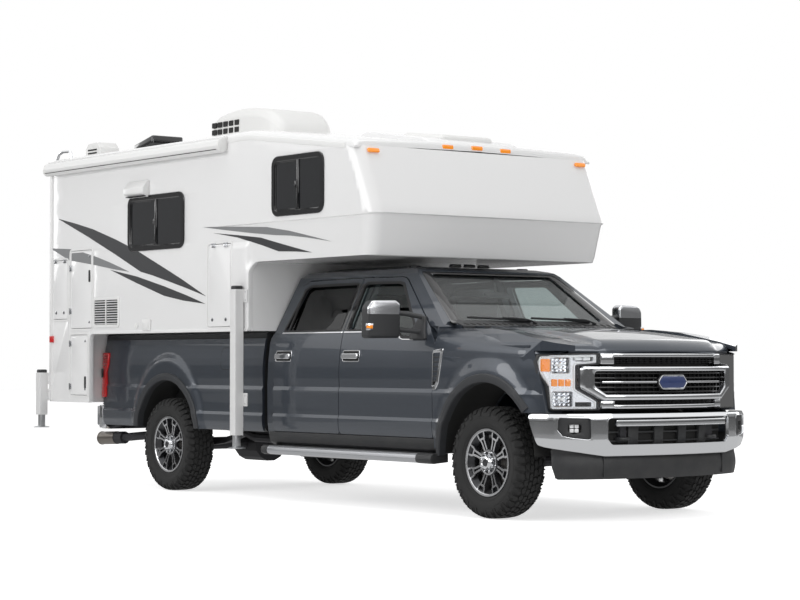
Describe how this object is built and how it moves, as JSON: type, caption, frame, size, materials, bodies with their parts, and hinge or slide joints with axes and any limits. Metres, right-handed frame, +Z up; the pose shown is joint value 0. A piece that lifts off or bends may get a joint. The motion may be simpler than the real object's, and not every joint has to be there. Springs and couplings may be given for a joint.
{
  "type": "pickup truck with slide-in camper",
  "caption": "Crew cab pickup truck carrying a slide-in overcab camper, with opening doors, hood, storage hatches, steering and rolling wheels.",
  "frame": {"origin": "on the ground, under the middle of the whole outline", "axes": "+X forward, +Y to the vehicle's left, +Z up"},
  "size_m": [7.3506, 2.8298, 3.455],
  "materials": {
    "body_paint": "dark blue metallic gloss",
    "camper_white": "white gelcoat gloss",
    "chrome": "polished",
    "black_plastic": "satin moulded",
    "tyre_rubber": "matt",
    "wheel_alloy": "machined",
    "frame_steel": "satin black",
    "axle_iron": "rough black",
    "glass": "tinted clear",
    "window_glass": "dark tinted in a black frame",
    "lamp_clear": "clear lens",
    "lamp_red": "red lens",
    "brushed_metal": "brushed",
    "cabin_trim": "grained"
  },
  "bodies": {
    "chassis": {"chassis_frame": "frame_steel", "drivetrain": "axle_iron", "front_axle": "axle_iron", "rear_axle": "axle_iron", "cab_shell": "body_paint", "cab_interior": "cabin_trim", "fender_right": "body_paint", "fender_left": "body_paint", "grille": "chrome", "headlamp_right": "lamp_clear", "headlamp_left": "lamp_clear", "front_bumper": "chrome", "air_dam": "black_plastic", "cargo_bed": "body_paint", "tail_lamp_right": "lamp_red", "tail_lamp_left": "lamp_red", "rear_bumper": "chrome", "running_board_right": "brushed_metal", "running_board_left": "brushed_metal", "windshield": "glass", "camper_floor": "camper_white", "camper_side_right": "camper_white", "camper_side_left": "camper_white", "camper_rear_wall": "camper_white", "camper_nose": "camper_white", "camper_roof": "camper_white", "air_conditioner": "camper_white", "awning": "camper_white", "camper_window_galley_right": "window_glass", "camper_window_bunk_right": "window_glass", "camper_window_dinette_left": "window_glass", "camper_window_bunk_left": "window_glass"},
    "front_door_right": {"front_door_right": "body_paint", "front_door_glass_right": "glass", "mirror_right": "black_plastic"},
    "wheel_front_right": {"wheel_front_right": "wheel_alloy", "tyre_front_right": "tyre_rubber"},
    "front_door_left": {"front_door_left": "body_paint", "front_door_glass_left": "glass", "mirror_left": "black_plastic"},
    "wheel_front_left": {"wheel_front_left": "wheel_alloy", "tyre_front_left": "tyre_rubber"},
    "rear_door_right": {"rear_door_right": "body_paint", "rear_door_glass_right": "glass"},
    "wheel_rear_right": {"wheel_rear_right": "wheel_alloy", "tyre_rear_right": "tyre_rubber"},
    "rear_door_left": {"rear_door_left": "body_paint", "rear_door_glass_left": "glass"},
    "wheel_rear_left": {"wheel_rear_left": "wheel_alloy", "tyre_rear_left": "tyre_rubber"},
    "knuckle_right": {"knuckle_right": "axle_iron"},
    "knuckle_left": {"knuckle_left": "axle_iron"},
    "steering_wheel": {"steering_wheel": "black_plastic"},
    "hood": {"hood": "body_paint"},
    "camper_entry_door": {"camper_entry_door": "camper_white"},
    "hatch_rear_high": {"hatch_rear_high": "camper_white"},
    "hatch_rear_tall": {"hatch_rear_tall": "camper_white"},
    "hatch_rear_low": {"hatch_rear_low": "camper_white"},
    "hatch_front": {"hatch_front": "camper_white"}
  },
  "joints": [
    {"name": "steer_right", "type": "hinge", "parent": "chassis", "child": "knuckle_right", "pos_m": [2.69, -0.7, 0.412], "axis": [0, 0, 1], "range_deg": [-32, 32]},
    {"name": "front_wheel_right", "type": "hinge", "parent": "knuckle_right", "child": "wheel_front_right", "pos_m": [2.69, -0.865, 0.412], "axis": [0, 1, 0], "continuous": true},
    {"name": "rear_wheel_right", "type": "hinge", "parent": "chassis", "child": "wheel_rear_right", "pos_m": [-1.78, -0.865, 0.412], "axis": [0, 1, 0], "continuous": true},
    {"name": "front_door_hinge_right", "type": "hinge", "parent": "chassis", "child": "front_door_right", "pos_m": [2.032, -0.975, 1.1], "axis": [0, 0, 1], "range_deg": [0, 66]},
    {"name": "rear_door_hinge_right", "type": "hinge", "parent": "chassis", "child": "rear_door_right", "pos_m": [0.821, -0.975, 1.1], "axis": [0, 0, 1], "range_deg": [0, 66]},
    {"name": "steer_left", "type": "hinge", "parent": "chassis", "child": "knuckle_left", "pos_m": [2.69, 0.7, 0.412], "axis": [0, 0, 1], "range_deg": [-32, 32]},
    {"name": "front_wheel_left", "type": "hinge", "parent": "knuckle_left", "child": "wheel_front_left", "pos_m": [2.69, 0.865, 0.412], "axis": [0, 1, 0], "continuous": true},
    {"name": "rear_wheel_left", "type": "hinge", "parent": "chassis", "child": "wheel_rear_left", "pos_m": [-1.78, 0.865, 0.412], "axis": [0, 1, 0], "continuous": true},
    {"name": "front_door_hinge_left", "type": "hinge", "parent": "chassis", "child": "front_door_left", "pos_m": [2.032, 0.975, 1.1], "axis": [0, 0, -1], "range_deg": [0, 66]},
    {"name": "rear_door_hinge_left", "type": "hinge", "parent": "chassis", "child": "rear_door_left", "pos_m": [0.821, 0.975, 1.1], "axis": [0, 0, -1], "range_deg": [0, 66]},
    {"name": "steering_column", "type": "hinge", "parent": "chassis", "child": "steering_wheel", "pos_m": [1.56, 0.42, 1.24], "axis": [-0.9, 0, 0.436], "range_deg": [-520, 520]},
    {"name": "hood_hinge", "type": "hinge", "parent": "chassis", "child": "hood", "pos_m": [2.184, 0, 1.416], "axis": [0, -1, 0], "range_deg": [0, 48]},
    {"name": "entry_door_hinge", "type": "hinge", "parent": "chassis", "child": "camper_entry_door", "pos_m": [-3.5474, -0.486, 1.84], "axis": [0, 0, 1], "range_deg": [0, 150]},
    {"name": "hatch_rear_high_hinge", "type": "hinge", "parent": "chassis", "child": "hatch_rear_high", "pos_m": [-3.335, -1.2274, 2.106], "axis": [-1, 0, 0], "range_deg": [0, 95]},
    {"name": "hatch_front_hinge", "type": "hinge", "parent": "chassis", "child": "hatch_front", "pos_m": [-0.555, -1.2274, 2.146], "axis": [-1, 0, 0], "range_deg": [0, 95]},
    {"name": "hatch_rear_tall_hinge", "type": "hinge", "parent": "chassis", "child": "hatch_rear_tall", "pos_m": [-3.141, -1.2274, 1.82], "axis": [0, 0, -1], "range_deg": [0, 90]},
    {"name": "hatch_rear_low_hinge", "type": "hinge", "parent": "chassis", "child": "hatch_rear_low", "pos_m": [-3.141, -1.2274, 1.1175], "axis": [0, 0, -1], "range_deg": [0, 90]}
  ],
  "couplings": [
    {"joint": "steer_left", "follows": "steer_right", "ratio": 1},
    {"joint": "steering_column", "follows": "steer_right", "ratio": 16}
  ]
}
